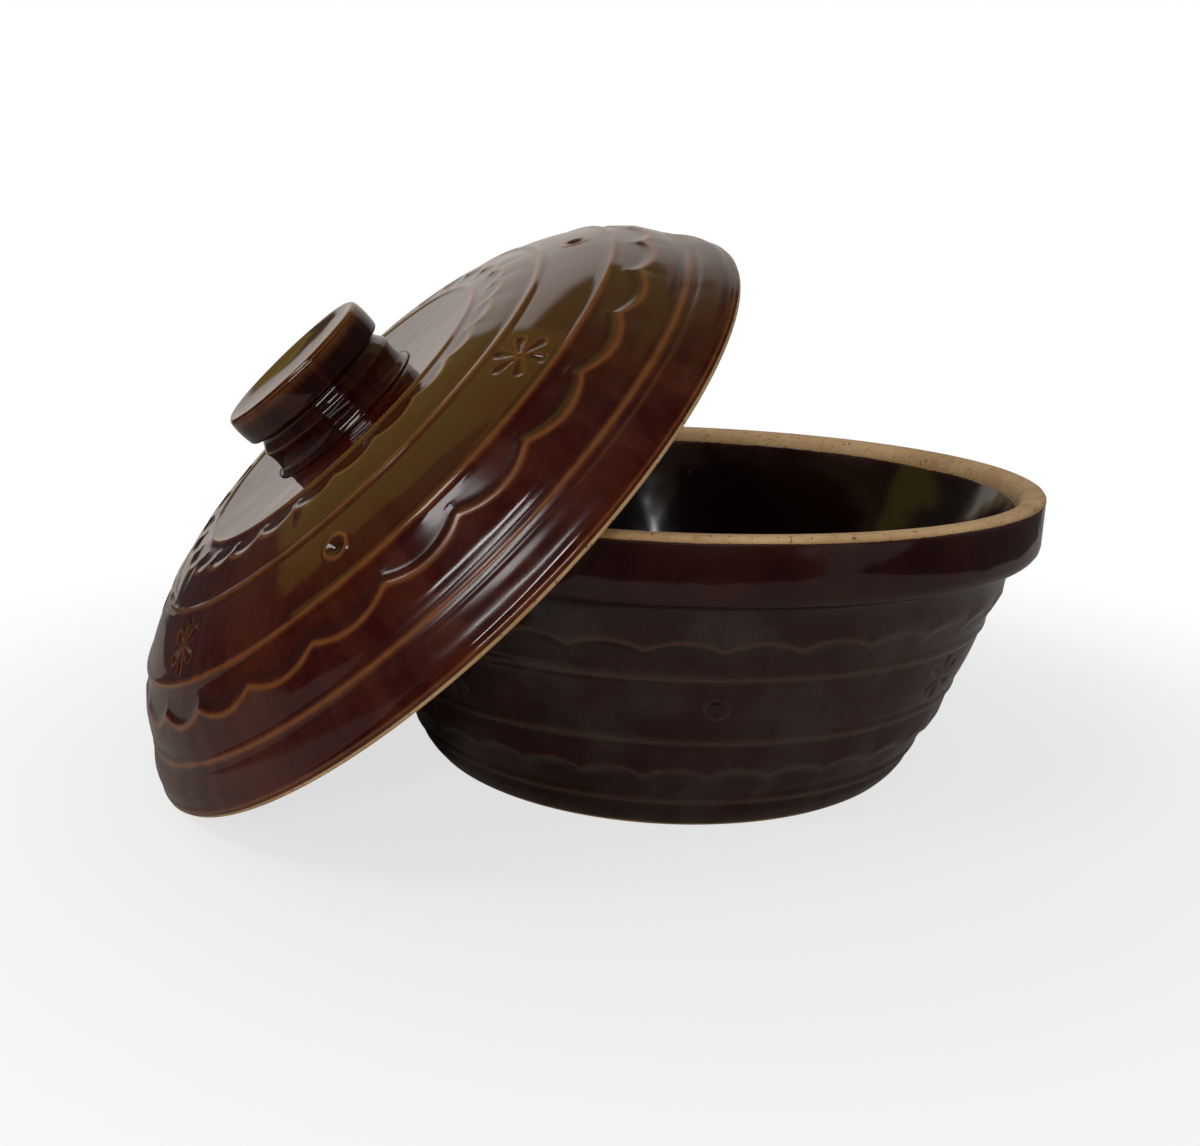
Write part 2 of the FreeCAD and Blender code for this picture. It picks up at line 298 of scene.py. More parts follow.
class Outline:
    """Rows of a turned piece, each a radius and a height with its marks."""

    def __init__(self):
        self.rows = []

    def row(self, point, **marks):
        self.rows.append((Vector(point), marks))

    def add(self, *bands):
        for rows in bands:
            self.rows.extend(rows)

    def bends(self, points, *corners):
        """Rounds every corner between the first and the last point.

        A corner is a size in millimetres, a number of steps and its marks. The glaze is
        thinnest at its middle.
        """
        faded = 0.7
        for before, corner, after, (size, steps, marks) in zip(
            points, points[1:], points[2:], corners
        ):
            first = corner + (before - corner).normalized() * (size * MM)
            last = corner + (after - corner).normalized() * (size * MM)
            for index in range(steps + 1):
                share = index / steps
                thin = marks.get("ridge", 0.0) * (1 - abs(2 * share - 1) ** 2 * faded)
                self.row(on_curve(first, corner, last, share), **dict(marks, ridge=thin))

    def run(self, start, end, steps, swell=0.0, **marks):
        """Rows between two points, not counting them, on an arc that swells outwards."""
        across = outwards(start, end)
        for index in range(1, steps + 1):
            share = index / (steps + 1)
            lift = swell * (1 - (2 * share - 1) ** 2)
            self.row(start.lerp(end, share) + across * lift, **marks)

    def thin_beside_crests(self, points):
        """The glaze thins gradually towards every crest."""
        glow, reach = 0.34, 1.8 * MM
        runs = [0.0]
        for start, end in zip(points, points[1:]):
            runs.append(runs[-1] + (end - start).length)
        crests = [run for run, (_, marks) in zip(runs, self.rows) if marks.get("ridge", 0) == 1.0]
        for run, (_, marks) in zip(runs, self.rows):
            nearest = min((abs(run - crest) for crest in crests), default=1.0)
            marks["ridge"] = max(marks.get("ridge", 0.0), glow * math.exp(-nearest / reach))

    def joined(self):
        """The outline as a mesh of points and edges, with the marks as attributes."""
        points = [point for point, _ in self.rows]
        self.thin_beside_crests(points)
        mesh = bpy.data.meshes.new("outline")
        edges = [(index, index + 1) for index in range(len(points) - 1)]
        mesh.from_pydata([(point.x, 0.0, point.y) for point in points], edges, [])
        rows = []
        for index, (point, marks) in enumerate(self.rows):
            ahead = points[min(index + 1, len(points) - 1)]
            behind = points[max(index - 1, 0)]
            along = (ahead - behind).normalized()
            rows.append({
                **dict.fromkeys(MARKS, 0.0), "across": NO_MOTIF, **marks,
                "radius": point.x, "height": point.y, "along_out": along.x, "along_up": along.y,
            })
        for name in rows[0]:
            attribute = mesh.attributes.new(name, "FLOAT", "POINT")
            attribute.data.foreach_set("value", [row[name] for row in rows])
        return mesh


class Ring:
    """A fine ring, between the points before and after it on the outline."""

    def __init__(self, centre, before, after, relief):
        self.centre = centre
        self.relief = relief
        self.along = (after - before).normalized()
        self.out = outwards(before, after)
        self.first = centre - self.along * relief.ring_width / 2
        self.last = centre + self.along * relief.ring_width / 2

    def rows(self, **marks):
        """Glaze gathers at the feet of the ring, darkened there as painted shade, and breaks over
        its crest.
        """
        for place, lift, ridge, pool in RING_ROWS:
            point = self.centre + self.along * place * self.relief.ring_width
            point += self.out * lift * self.relief.ring_rise
            yield point, dict(marks, ridge=ridge, pool=pool)


def rings_between(before, sizes, end, relief):
    """The rings in the order in which the outline meets them."""
    centres = [Vector(pair) for pair in zip(sizes.ring_radii, sizes.ring_heights)]
    befores = [before, *centres]
    return [
        Ring(centre, before, after, relief)
        for before, centre, after in zip(befores, centres, [*centres[1:], end])
    ]


def scallop_rows(start, end, reach, depth, rise, swell, relief, root=0.3, **marks):
    """A band whose first part is raised and ends in arcs, from ring foot to ring foot."""
    span = (end - start).length
    along = (end - start).normalized()
    out = outwards(start, end)
    if along.y < 0:
        out = -out
    foot = 0.7 * relief.ring_width
    edge = EDGE_ROWS[-1][0] * MM
    tail = reach + edge + 0.22 * (span - foot - reach - edge)

    def climb(run):
        """Share of the rise on the slope that leads up to the arcs."""
        return root + (1.0 - root) * (run - foot) / (reach - foot)

    lead_run = 1.5 * MM
    lead, near = reach - lead_run, reach - 0.7 * MM
    half_way = 0.5 * (foot + reach - lead_run)
    rows = []
    # Run from the start, share of the rise, ridge, pooled glaze with painted shade, and share of
    # the arcs' depth
    for run, lift, ridge, pool, share in (
        (foot, root, 0.0, 0.1, 0.0),
        (half_way, climb(half_way), 0.0, 0.0, 0.5),
        (lead, climb(lead), 0.10, 0.0, 1.0),
        (near, climb(near), 0.45, 0.0, 1.0),
        *((reach + past * MM, *row, 1.0) for past, *row in EDGE_ROWS),
        (tail, 0.0, 0.0, 0.2, 0.78),
        (0.5 * (tail + span - foot), 0.0, 0.0, 0.05, 0.4),
        (span - foot, 0.0, 0.0, 0.1, 0.0),
    ):
        bow = swell * (1 - (2 * run / span - 1) ** 2)
        point = start + along * run + out * (lift * rise + bow)
        sway = along * share * depth
        rows.append((point, dict(
            marks, ridge=ridge, pool=pool, sway_out=sway.x, sway_up=sway.y
        )))
    return rows


def motif_rows(start, end, swell, relief, shift=0.0, **marks):
    """A plain band that carries the motifs near its middle line."""
    span = (end - start).length
    half = span / 2 - 0.42 * relief.ring_width
    steps = 24
    for index in range(steps + 1):
        across = half * (2 * index / steps - 1)
        bow = swell * (1 - (2 * across / span) ** 2)
        point = start.lerp(end, 0.5 + across / span) + outwards(start, end) * bow
        yield point, dict(marks, across=across - shift)


def bowl_outline(sizes, relief):
    """The bowl from the middle of its underside, up the outside and down into its hollow."""
    outline = Outline()
    foot, rim, high = sizes.foot_radius, sizes.rim_radius, sizes.height
    recess = 1.2 * MM
    foot_width = 7.0 * MM
    foot_corner = 3.0 * MM
    neck_drop = 4.4 * MM
    slope = Vector((foot - foot_width - recess, recess))
    inner = Vector((foot - foot_width, 0.0))
    outer = Vector((foot, 0.0))
    shoulder = Vector((foot + foot_corner, foot_corner))
    low = high - sizes.collar_height
    neck = Vector((rim - sizes.collar_overhang, low - neck_drop))
    rings = rings_between(shoulder, sizes, neck, relief)
    clay = dict(bare=1.0)
    outline.row((0.0, recess), **clay)
    outline.row((0.6 * foot, recess), **clay)
    outline.bends(
        (Vector((0.0, recess)), slope, inner, outer, shoulder, rings[0].first),
        (0.4, 1, clay), (0.4, 1, clay), (0.9, 2, dict(bare=0.75)), (1.2, 2, dict(ridge=0.4)),
    )

    # The wall with its rings, scallops and motifs
    scallops = (sizes.scallop_depth, sizes.scallop_rise, sizes.band_swell, relief)
    lower = scallop_rows(rings[1].first, rings[0].last, sizes.lower_reach, *scallops)
    upper = scallop_rows(neck, rings[2].last, sizes.upper_reach, *scallops)
    motifs = (rings[1].last, rings[2].first, sizes.band_swell, relief, sizes.motif_shift)
    outline.run(shoulder, rings[0].first, 2, sizes.band_swell * 0.5)
    outline.add(
        rings[0].rows(), reversed(lower), rings[1].rows(), motif_rows(*motifs),
        rings[2].rows(), reversed(upper),
    )

    # The collar, and the clay of its rim
    edge = 2.2 * MM
    cove = Vector((neck.x + 1.6 * MM, low - 0.9 * MM))
    lower_edge = Vector((rim - edge, low))
    side_low = Vector((rim, low + edge))
    side_top = Vector((rim, high))
    flat_end = Vector((rim - 3.9 * MM, high))
    inner_edge = Vector((rim - 7.7 * MM, high - 4.0 * MM))
    # Under the collar's overhang the glaze is darkened as painted shade
    outline.row(neck, pool=0.6)
    outline.bends(
        (neck, cove, lower_edge, side_low, side_top),
        (1.4, 2, dict(pool=0.8)), (1.2, 2, dict(ridge=0.35, clean=0.8)),
        (1.4, 2, dict(ridge=0.35, clean=0.9)),
    )
    outline.row((rim, low + 9.0 * MM), clean=0.9)
    # Millimetres in from the side and down from the rim
    for inset, drop, marks in (
        (0.0, 2.4, dict(ridge=0.35, clean=0.9)),
        (0.0, 1.7, dict(bare=0.42, ridge=0.8)),
        (0.15, 1.1, dict(bare=0.8)),
        (0.75, 0.4, clay),
        (1.6, 0.0, clay),
    ):
        outline.row((rim - inset * MM, high - drop * MM), **marks)
    rim_swell = 1.1 * MM
    outline.row(flat_end, **clay)
    outline.run(flat_end, inner_edge, 3, rim_swell, **clay)

    # The hollow of the bowl, where the glaze starts a little under the rim and is darkened as
    # painted shade
    wall_foot = Vector((sizes.ring_radii[1] - sizes.wall, sizes.ring_heights[1]))
    corner = Vector((wall_foot.x - 4.0 * MM, sizes.floor))
    floor_edge = Vector((wall_foot.x - 22.0 * MM, sizes.floor))
    glazed = dict(inside=1.0)
    for share, marks in (
        (0.0, dict(bare=0.9)),
        (0.025, dict(bare=0.45, inside=0.2, ridge=0.7)),
        (0.05, dict(inside=0.6, ridge=0.3)),
        (0.12, glazed),
        (0.6, glazed),
    ):
        outline.row(inner_edge.lerp(wall_foot, share), **marks)
    outline.bends((inner_edge, wall_foot, corner), (2.0, 1, glazed))
    steps = 5
    for index in range(1, steps):
        outline.row(on_curve(wall_foot, corner, floor_edge, index / steps), **glazed)
    for share in (1.0, 0.5, 0.0):
        outline.row((share * floor_edge.x, sizes.floor), **glazed)
    return outline


def lid_outline(sizes, rim_radius, relief):
    """The lid upright on its rim plane, from the middle of its hollow round to its crown."""
    outline = Outline()
    lip_outer = rim_radius - sizes.seat_width
    lip_inner = lip_outer - sizes.lip_width
    ceiling = sizes.pad_height - sizes.wall
    hollow = [Vector(point) for point in (
        (0.0, ceiling),
        (sizes.ring_radii[3], ceiling),
        (sizes.ring_radii[2], sizes.ring_heights[2] - sizes.wall),
        (sizes.ring_radii[1] - 5.0 * MM, sizes.ring_heights[1] - sizes.wall),
        (lip_inner, 3.8 * MM),
        (lip_inner, -sizes.lip_drop),
        (lip_outer, -sizes.lip_drop),
        (lip_outer, 0.0),
        (rim_radius, 0.0),
        (rim_radius, sizes.edge_height),
    )]
    glazed, clay = dict(inside=1.0), dict(bare=1.0)
    # The lid's hollow is darkened as painted shade
    outline.row(hollow[0], **glazed)
    outline.row(hollow[0].lerp(hollow[1], 0.5), **glazed)
    outline.bends(
        hollow, (8.0, 2, glazed), (6.0, 2, glazed), (5.0, 2, glazed),
        (2.0, 2, dict(inside=1.0, bare=0.25)), (0.8, 2, clay), (0.8, 2, clay), (0.4, 1, clay),
        (1.2, 2, dict(bare=0.8)),
    )

    edge_round = 1.0 * MM
    shoulder = Vector((rim_radius - edge_round, sizes.edge_height + edge_round))
    crown = Vector((0.0, sizes.ring_heights[3]))
    rings = rings_between(shoulder, sizes, crown, relief)
    outline.row((rim_radius, 1.5 * MM), bare=0.1, ridge=0.6)
    outline.bends(
        (*hollow[-2:], shoulder, rings[0].first),
        (0.7, 2, dict(ridge=0.75)), (0.5, 1, dict(ridge=0.35)),
    )
    # From here up the crown marks lay on the greenish brown glaze, partly a painted reflection
    outline.run(shoulder, rings[0].first, 6, sizes.rim_swell, crown=0.4, dull=1.0)
    outline.add(
        rings[0].rows(crown=0.4, dull=1.0),
        scallop_rows(
            rings[0].last, rings[1].first, sizes.outer_reach, sizes.outer_depth,
            sizes.outer_rise, sizes.band_swell, relief, root=0.66, crown=0.55, dull=0.45,
        ),
        rings[1].rows(crown=0.5),
        motif_rows(rings[1].last, rings[2].first, sizes.band_swell, relief, crown=1.0),
        rings[2].rows(crown=1.0),
        scallop_rows(
            rings[2].last, rings[3].first, sizes.crown_reach, sizes.crown_depth,
            sizes.crown_rise, sizes.band_swell, relief, crown=1.0,
        ),
        rings[3].rows(crown=0.6),
    )
    pad = Vector((sizes.pad_radius, sizes.pad_height))
    outline.run(rings[3].last, pad, 4, crown=0.2)
    # A faint painted shade round the foot of the knob
    outline.row(pad, pool=0.1)
    outline.row((0.5 * sizes.pad_radius, sizes.pad_height), **clay)
    outline.row((0.0, sizes.pad_height), **clay)
    return outline


def knob_outline(sizes):
    """The knob above the lid's pad, from the middle of its foot up to the dish."""
    outline = Outline()
    high = sizes.height
    edge_round = 1.0 * MM
    disc_low = high - sizes.disc_height
    neck_top = disc_low - 0.7 * MM
    undercut = Vector((sizes.undercut_radius, disc_low))
    disc_edge = Vector((sizes.edge_radius, disc_low))
    side = Vector((sizes.radius, disc_low + 4.3 * MM))
    upper = Vector((sizes.edge_radius, high - edge_round))
    top = Vector((sizes.edge_radius - edge_round, high))
    dish = Vector((sizes.dish_radius, high - edge_round))
    middle = Vector((0.0, high - sizes.dish_depth))
    outline.row((0.0, 0.0), bare=1.0)
    outline.row((0.7 * sizes.foot_radius, 0.0), bare=1.0)
    # Painted shade where the knob meets the lid
    outline.row((sizes.foot_radius, 0.0), pool=0.3)

    # The neck: a flare on the lid, a soft bead and an undercut, darkened towards the undercut as
    # painted shade
    flare = sizes.foot_radius - sizes.neck_radius
    hollow = sizes.neck_radius - sizes.undercut_radius
    bead_width = 1.5 * MM
    steps = 26
    for index in range(1, steps + 1):
        height = neck_top * (index / steps) ** 1.3
        above = height - sizes.bead_height
        swell = sizes.bead_rise * math.exp(-(above / bead_width) ** 2)
        share = min(1.0, max(0.0, above / (neck_top - sizes.bead_height)))
        sunk = hollow * share * share * (3 - 2 * share)
        flared = flare * math.exp(-height / sizes.flare_height)
        outline.row(
            (sizes.neck_radius + flared + swell - sunk, height),
            pool=0.5 * share, ridge=0.22 * swell / sizes.bead_rise,
        )
    neck_end = Vector((sizes.undercut_radius, neck_top))
    # Painted shade in the undercut, fading towards the disc's edge
    for share in (0.25, 0.5, 0.75):
        outline.row(on_curve(neck_end, undercut, disc_edge, share), pool=0.5 * (1 - share))

    # The disc: a swollen side, a rounded edge and the shallow dish. Painted shade darkens the side
    # towards its foot; towards its top the side takes a greenish brown, partly glaze tone and
    # partly a painted reflection
    outline.bends((undercut, disc_edge, side), (0.9, 3, dict(ridge=0.4)))
    steps = 9
    for index in range(1, steps):
        share = index / steps
        outline.row(
            on_curve(disc_edge, side, upper, share), crown=0.35 * share,
            pool=0.4 * (1 - share) ** 2, ridge=0.75 * max(0.0, 1.9 * share - 0.9),
        )
    outline.bends(
        (side, upper, top, dish),
        (0.5, 2, dict(ridge=0.9, crown=0.5)), (0.6, 2, dict(ridge=0.95, crown=0.5)),
    )
    # The dish takes the greenish brown glaze, partly a painted reflection
    start = top.lerp(dish, 0.7)
    steps = 15
    for index in range(1, steps):
        share = 1 - index / steps
        sunk = (start.y - middle.y) * share * share
        thin = 0.6 * max(0.0, 9 * share - 8)
        outline.row((start.x * share, middle.y + sunk), crown=1.0, ridge=thin)
    outline.row(middle, crown=1.0)
    return outline


# Node trees

class Field:
    """A number in a node tree; arithmetic on fields adds the nodes that work it out."""

    def __init__(self, tree, socket):
        self.tree = tree
        self.socket = socket

    def math(self, operation, *others):
        node = added(self.tree, "ShaderNodeMath", self, *others, operation=operation)
        return Field(self.tree, node.outputs[0])

    __add__ = partialmethod(math, "ADD")
    __sub__ = partialmethod(math, "SUBTRACT")
    __mul__ = partialmethod(math, "MULTIPLY")
    __truediv__ = partialmethod(math, "DIVIDE")

    def inverse(self):
        """One less this number."""
        return (self * -1.0) + 1.0

    def clamped(self):
        return Field(self.tree, added(self.tree, "ShaderNodeClamp", self).outputs[0])

    def eased(self, low, high):
        """From 0 at low to 1 at high, levelling off at both."""
        node = added(
            self.tree, "ShaderNodeMapRange", self, low, high, interpolation_type="SMOOTHSTEP"
        )
        return Field(self.tree, node.outputs[0])


def feed(tree, sockets, values):
    """Links or sets sockets, by name or from the first one on."""
    if isinstance(values, dict):
        sockets = [sockets[name] for name in values]
        values = values.values()
    for socket, value in zip(sockets, values):
        if isinstance(value, Field):
            value = value.socket
        if isinstance(value, bpy.types.NodeSocket):
            tree.links.new(value, socket)
        else:
            socket.default_value = (*value, 1.0) if socket.type == "RGBA" else value


def added(tree, kind, *values, **settings):
    """A new node with its settings, and with values for its first sockets."""
    node = tree.nodes.new(kind)
    for name, setting in settings.items():
        setattr(node, name, setting)
    feed(tree, node.inputs, values)
    return node


def noise(tree, place, scale, detail, roughness, seed=None):
    """A cloudy number between 0 and 1."""
    values = {"Vector": place, "Scale": scale, "Detail": detail, "Roughness": roughness}
    node = added(tree, "ShaderNodeTexNoise")
    if seed is not None:
        node.noise_dimensions = "4D"
        values["W"] = seed
    feed(tree, node.inputs, values)
    return Field(tree, node.outputs[0])


def group(name, kind, inputs, outputs, fill):
    """The node group of that name; it is made and filled once."""
    if name not in bpy.data.node_groups:
        tree = bpy.data.node_groups.new(name, kind)
        for way, sockets in (("INPUT", inputs), ("OUTPUT", outputs)):
            for label, socket in sockets.items():
                tree.interface.new_socket(label, in_out=way, socket_type="NodeSocket" + socket)
        fill(tree, tree.nodes.new("NodeGroupInput").outputs)
    return bpy.data.node_groups[name]


def turn_outline(tree, given):
    """Turns an outline about Z, waves its scalloped rows and presses in the motifs."""
    def value(label):
        return Field(tree, given[label])

    # Rows and columns of the grid
    size = added(tree, "GeometryNodeAttributeDomainSize", given["Outline"])
    rows = Field(tree, size.outputs["Point Count"])
    grid = added(tree, "GeometryNodeMeshGrid")
    feed(tree, grid.inputs, {"Vertices X": value("Columns") + 1.0, "Vertices Y": rows})
    index = Field(tree, added(tree, "GeometryNodeInputIndex").outputs[0])
    row = index.math("FLOORED_MODULO", rows)
    column = (index / rows).math("FLOOR")
    turn = column / value("Columns") * math.tau

    def at_row(label):
        named = added(tree, "GeometryNodeInputNamedAttribute", label, data_type="FLOAT")
        sample = added(tree, "GeometryNodeSampleIndex", data_type="FLOAT", domain="POINT")
        feed(tree, sample.inputs, {
            "Geometry": given["Outline"], "Value": named.outputs["Attribute"], "Index": row,
        })
        return Field(tree, sample.outputs["Value"])

    def turned(out, up):
        """The place at a radius and a height on this column."""
        around = (turn.math("COSINE") * out, turn.math("SINE") * out, up)
        return added(tree, "ShaderNodeCombineXYZ", *around).outputs[0]

    radius = at_row("radius")
    height = at_row("height")

    # Arcs of the scalloped rows, with soft cusps
    phase = ((turn - value("Scallop turn")) * value("Scallops") / math.tau).math("FRACT")
    bend = phase * 2.0 - 1.0
    arc = (bend * bend).math("SMOOTH_MIN", 0.93, 0.12)

    # Nearest motif, and the place on it
    step = value("Motifs").math("POWER", -1.0) * math.tau
    far = turn - value("Motif turn")
    nearest = (far / step).math("ROUND")
    side = (far - nearest * step) * radius
    across = at_row("across")
    distance = (side * side + across * across).math("SQRT")

    # Every other motif is a flower: the nearest petal narrows towards its root
    flower = nearest.math("FLOORED_MODULO", 2.0)
    sector = value("Petals").math("POWER", -1.0) * math.tau
    within = across.math("ARCTAN2", side).math("FLOORED_MODULO", sector) - sector * 0.5
    run = distance * within.math("COSINE")
    off = distance * within.math("SINE")
    place = ((run - value("Petal start")) / value("Petal length")).clamped()
    gap = run - value("Petal start") - place * value("Petal length")
    width = value("Petal root") + place * (value("Petal tip") - value("Petal root"))
    edge = (gap * gap + off * off).math("SQRT") - width
    petal = edge.eased(-1.3 * MM, 0.5 * MM).inverse() * flower
    petal_lip = (edge - 0.3 * MM).math("ABSOLUTE").eased(0.0, 0.8 * MM).inverse() * flower

    # The others are ringed dots
    dotted = flower.inverse()
    dimple = (distance - value("Dot radius")).eased(-1.3 * MM, 0.4 * MM).inverse() * dotted
    from_ring = (distance - value("Dot ring radius")).math("ABSOLUTE")
    dot_ring = (from_ring / value("Dot ring width")).eased(0.0, 1.0).inverse() * dotted

    # Relief along the outline's own outward direction
    marks = {label: at_row(label) for label in GLAZE_MARKS}
    wave = noise(tree, turned(radius, height), 42.0, 1.0, 0.5, value("Seed"))
    lift = (
        value("Dot ring rise") * dot_ring
        - value("Petal depth") * petal
        - value("Dot depth") * dimple
        - value("Unevenness") * wave * marks["bare"].inverse().clamped()
    )
    out = radius + at_row("sway_out") * arc + at_row("along_up") * lift
    up = height + at_row("sway_up") * arc - at_row("along_out") * lift
    moved = added(tree, "GeometryNodeSetPosition")
    feed(tree, moved.inputs, {"Geometry": grid.outputs["Mesh"], "Position": turned(out, up)})

    # Marks for the glaze, which runs down the slope in streaks
    around = added(
        tree, "ShaderNodeCombineXYZ",
        turn.math("COSINE") * 0.1, turn.math("SINE") * 0.1, (radius + height) * 0.14,
    )
    marks["streak"] = noise(tree, around.outputs[0], 150.0, 2.0, 0.55, value("Seed"))
    motif_edge = (petal_lip * 0.75).math("MAXIMUM", dot_ring) * value("Motif edges")
    motif_pool = (petal * 0.55).math("MAXIMUM", dimple * 0.9)
    marks["ridge"] = marks["ridge"].math("MAXIMUM", motif_edge)
    marks["pool"] = marks["pool"].math("MAXIMUM", motif_pool)
    geometry = moved.outputs["Geometry"]
    for label, field in marks.items():
        store = added(
            tree, "GeometryNodeStoreNamedAttribute", data_type="FLOAT", domain="POINT"
        )
        feed(tree, store.inputs, {"Geometry": geometry, "Name": label, "Value": field})
        geometry = store.outputs["Geometry"]

    # One closed skin: the seam and the points on the axis are merged
    merged = added(tree, "GeometryNodeMergeByDistance")
    feed(tree, merged.inputs, {"Geometry": geometry, "Distance": 0.004 * MM})
    smooth = added(tree, "GeometryNodeSetShadeSmooth", merged.outputs[0])
    realized = added(tree, "GeometryNodeRealizeInstances", smooth.outputs[0])
    painted = added(tree, "GeometryNodeSetMaterial", realized.outputs[0])
    feed(tree, painted.inputs, {"Material": given["Material"]})
    added(tree, "NodeGroupOutput", painted.outputs[0])


def turned_tree():
    inputs = {"Outline": "Geometry", **OWN_INPUTS, **RELIEF_INPUTS, "Material": "Material"}
    outputs = {"Piece": "Geometry"}
    return group("turned piece", "GeometryNodeTree", inputs, outputs, turn_outline)


def turned_inputs(
    relief, seed, columns, scallops=1, scallop_turn=0.0, motif_turn=0.0, motif_edges=0.95
):
    """Values for the inputs of a turned piece, by their labels."""
    values = {
        label: getattr(relief, label.lower().replace(" ", "_")) for label in RELIEF_INPUTS
    }
    own = (columns, scallops, scallop_turn, motif_turn, motif_edges, seed)
    return values | dict(zip(OWN_INPUTS, own))


def turned_piece(name, outline, inputs, material, place):
    """A plain mesh object turned from an outline and carried to its place."""
    source = bpy.data.objects.new(name + " outline", outline.joined())
    bpy.context.scene.collection.objects.link(source)
    modifier = source.modifiers.new("turned", "NODES")
    modifier.node_group = turned_tree()
    values = {**inputs, "Material": material}
    for item in modifier.node_group.interface.items_tree:
        if item.in_out == "INPUT" and item.name in values:
            modifier[item.identifier] = values[item.name]
    depsgraph = bpy.context.evaluated_depsgraph_get()
    mesh = bpy.data.meshes.new_from_object(source.evaluated_get(depsgraph), depsgraph=depsgraph)
    left_over = source.data
    source.modifiers.remove(modifier)
    bpy.data.objects.remove(source)
    bpy.data.meshes.remove(left_over)
    if not mesh.polygons:
        raise RuntimeError(f"the outline of {name} made no faces")
    mesh.name = name
    mesh.transform(place)
    skin = bmesh.new()
    skin.from_mesh(mesh)
    bmesh.ops.recalc_face_normals(skin, faces=skin.faces)
    open_edges = sum(1 for edge in skin.edges if not edge.is_manifold)
    skin.to_mesh(mesh)
    skin.free()
    if open_edges:
        raise RuntimeError(f"{name} has {open_edges} open edges")
    piece = bpy.data.objects.new(name, mesh)
    bpy.context.scene.collection.objects.link(piece)
    return piece


def lid_place():
    """Where the lid leans: its own axis, with the middle of its rim plane."""
    axis = Vector(frame["joints"][0]["axis"]).normalized()
    level = Vector((-axis.y, axis.x, 0.0)).normalized()
    rise = axis.cross(level)
    points = [vertex.co for vertex in frame["nodes"]["lid"].data.vertices]
    drop = bpy.context.scene.lid_sizes.lip_drop
    middle = Vector((0.0, 0.0, 0.0))
    for direction in (level, rise):
        reaches = [point.dot(direction) for point in points]
        middle += direction * (min(reaches) + max(reaches)) / 2
    middle += axis * (min(point.dot(axis) for point in points) + drop)
    turned = Matrix((level, rise, axis)).transposed().to_4x4()
    return Matrix.Translation(middle) @ turned


# Glaze and clay

def mix(tree, share, low, high):
    """A colour between two, each a socket or a plain colour."""
    node = added(tree, "ShaderNodeMix", data_type="RGBA")
    colours = [socket for socket in node.inputs if socket.type == "RGBA"]
    feed(tree, (node.inputs["Factor"], *colours), (share, low, high))
    return next(socket for socket in node.outputs if socket.type == "RGBA")


def mark(tree, name):
    node = added(tree, "ShaderNodeAttribute", attribute_name=name)
    return Field(tree, node.outputs["Fac"])


def breaking_glaze(tree, given):
    """Colour, roughness and surface of a brown glaze that breaks orange over edges."""
    place = tree.nodes.new("ShaderNodeTexCoord").outputs["Object"]
    clouds = noise(tree, place, 17.0, 3.0, 0.6)
    patches = noise(tree, place, 46.0, 4.0, 0.6)
    mottle = noise(tree, place, 240.0, 5.0, 0.65)
    grain = noise(tree, place, 1150.0, 2.0, 0.6)
    specks = noise(tree, place, 620.0, 1.0, 0.5)
    waves = noise(tree, place, 62.0, 1.0, 0.45)
    ridge, pool, crown, inside, clean, dull, streak = (
        mark(tree, name)
        for name in ("ridge", "pool", "crown", "inside", "clean", "dull", "streak")
    )

    # How far each kind of glaze shows
    thick = clouds * 0.6 + patches * 0.4 + (mottle - 0.5) * 0.3 + (streak - 0.5) * 0.55
    thick = thick.eased(0.36, 0.66)
    # Greenish brown on the crown bands, stronger higher up: partly glaze tone, partly a painted
    # reflection of a warm wall
    up = Field(tree, added(tree, "ShaderNodeSeparateXYZ", place).outputs["Z"])
    painted_reflection_by_height = (up - 0.085) / 0.11
    olive_and_reflection = crown * 0.75 + painted_reflection_by_height + (clouds - 0.5) * 0.5 + (patches - 0.5) * 0.2
    olive_and_reflection = olive_and_reflection.eased(0.58, 0.98) * crown.eased(0.0, 0.3)
    # Glaze pooled in hollows, also painted shade at ring feet, under the collar and round the knob
    pooled = (pool * (mottle * 0.6 + 0.65)).eased(0.15, 1.0) * 0.85
    thin = ridge * (mottle * 0.8 + patches * 0.6 + streak * 0.6 - 0.06)
    thin = thin.eased(0.12, 0.95)
    # The hollows of the bowl and the lid are darkened as painted shade
    hollow = inside.clamped()
    bloom = (patches * 0.8 + streak * 0.2).eased(0.42, 0.66) * Field(tree, given["Bloom share"])
    bloom = bloom * inside.inverse() * clean.inverse()
    fleck = specks.eased(0.73, 0.78) * 0.10
    pit = grain.eased(0.73, 0.80)
    colour_now = mix(tree, thick, given["Dark glaze"], given["Glaze"])
    for share, layer in (
        (olive_and_reflection, given["Olive glaze and painted reflection"]),
        (pooled, given["Pooled glaze and painted shade"]),
        (thin, given["Thin glaze"]),
        (hollow, given["Inside glaze in painted shade"]),
        (bloom, given["Bloom"]),
        (fleck, given["Thin glaze"]),
        (pit * 0.55, PIT),
    ):
        colour_now = mix(tree, share, colour_now, layer)

    rough = Field(tree, given["Roughness"]) + (mottle - 0.5) * 0.03 + pit * 0.10 + thin * 0.03
    rough = rough + hollow * 0.05 + bloom * 0.22 + dull * (patches * 0.22 + 0.02)
    surface = waves * 1.2 + mottle * 0.002 + grain * 0.002 - pit * 0.03
    added(tree, "NodeGroupOutput", colour_now, rough, surface)


